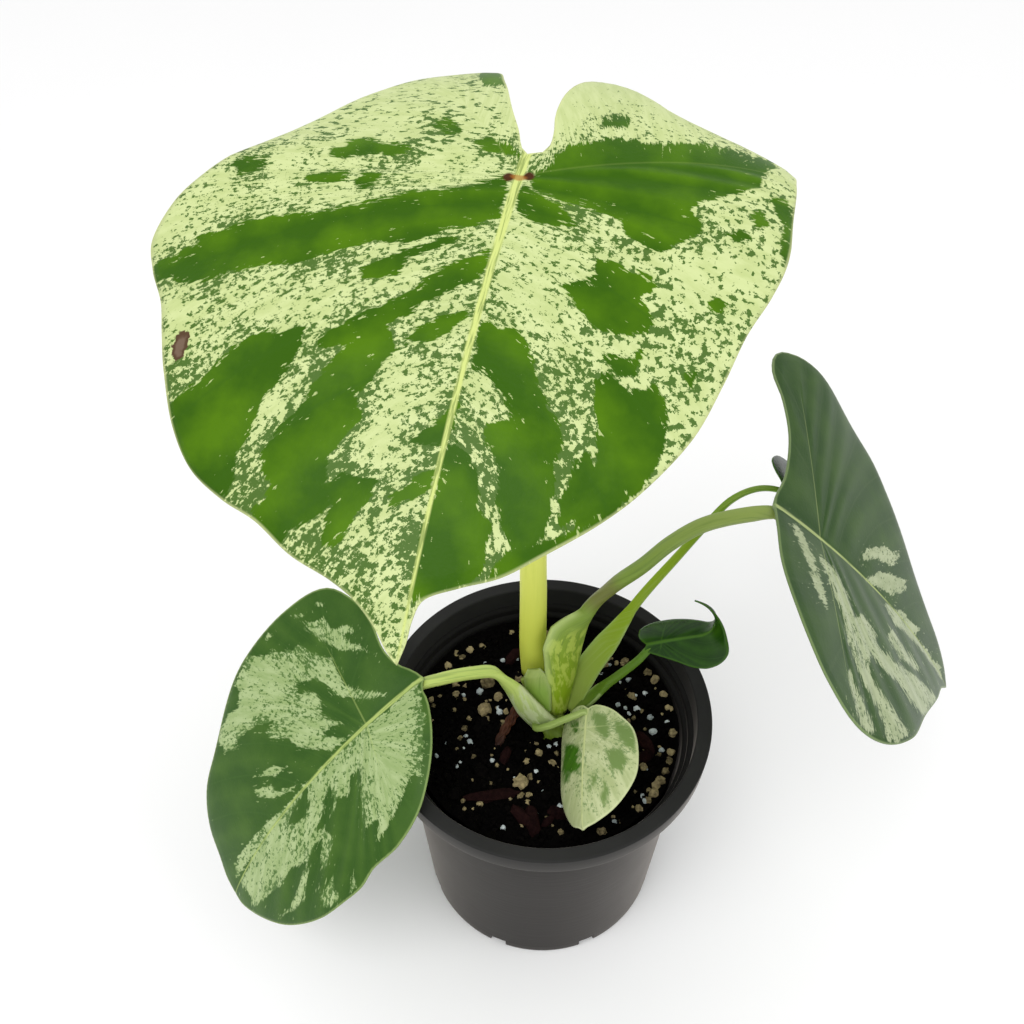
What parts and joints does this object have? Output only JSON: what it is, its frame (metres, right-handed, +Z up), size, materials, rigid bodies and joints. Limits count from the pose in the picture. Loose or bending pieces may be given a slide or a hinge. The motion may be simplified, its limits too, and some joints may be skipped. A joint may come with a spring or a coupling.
{
  "type": "potted house plant",
  "caption": "Potted variegated monstera: a young aroid with marbled heart-shaped leaves on sheathed petioles, in a round nursery pot with potting mix.",
  "frame": {"origin": "centre of the pot's base, on the plane it stands on", "axes": "+Z up along the pot's axis; -Y towards the side that the large leaf's tip points to; +X towards the right-hand leaf"},
  "size_m": [0.2479, 0.1638, 0.293],
  "materials": {
    "pot": "satin black moulded plastic",
    "potting_mix": "dark moist mix with white perlite, tan pumice and bark",
    "stem": "smooth green living stem",
    "root": "dry brown aerial root",
    "petiole_large": "smooth pale yellow-green petiole",
    "petiole_left": "striped pale green petiole with a clasping sheath",
    "petiole_right": "striped green petiole with a broad winged sheath",
    "petiole_back": "thin bright green petiole with a sheath",
    "petiole_curled": "thin green petiole with a short sheath",
    "petiole_front": "thin pale green petiole",
    "sheath_stub": "pale green blunt sheath",
    "blade_large": "glossy leaf, green with cream marbling and flecks",
    "blade_left": "satin leaf, grey-green with cream streaks",
    "blade_right": "satin leaf, bluish green with cream streaks",
    "blade_back": "satin dark green leaf",
    "blade_curled": "glossy dark green leaf",
    "blade_front": "satin cream leaf with green marbling"
  },
  "bodies": {
    "root": {"pot": "pot", "potting_mix": "potting_mix", "stem": "stem", "root": "root", "petiole_large": "petiole_large", "petiole_left": "petiole_left", "petiole_right": "petiole_right", "petiole_back": "petiole_back", "petiole_curled": "petiole_curled", "petiole_front": "petiole_front", "sheath_stub": "sheath_stub", "blade_large": "blade_large", "blade_left": "blade_left", "blade_right": "blade_right", "blade_back": "blade_back", "blade_curled": "blade_curled", "blade_front": "blade_front"}
  },
  "joints": []
}
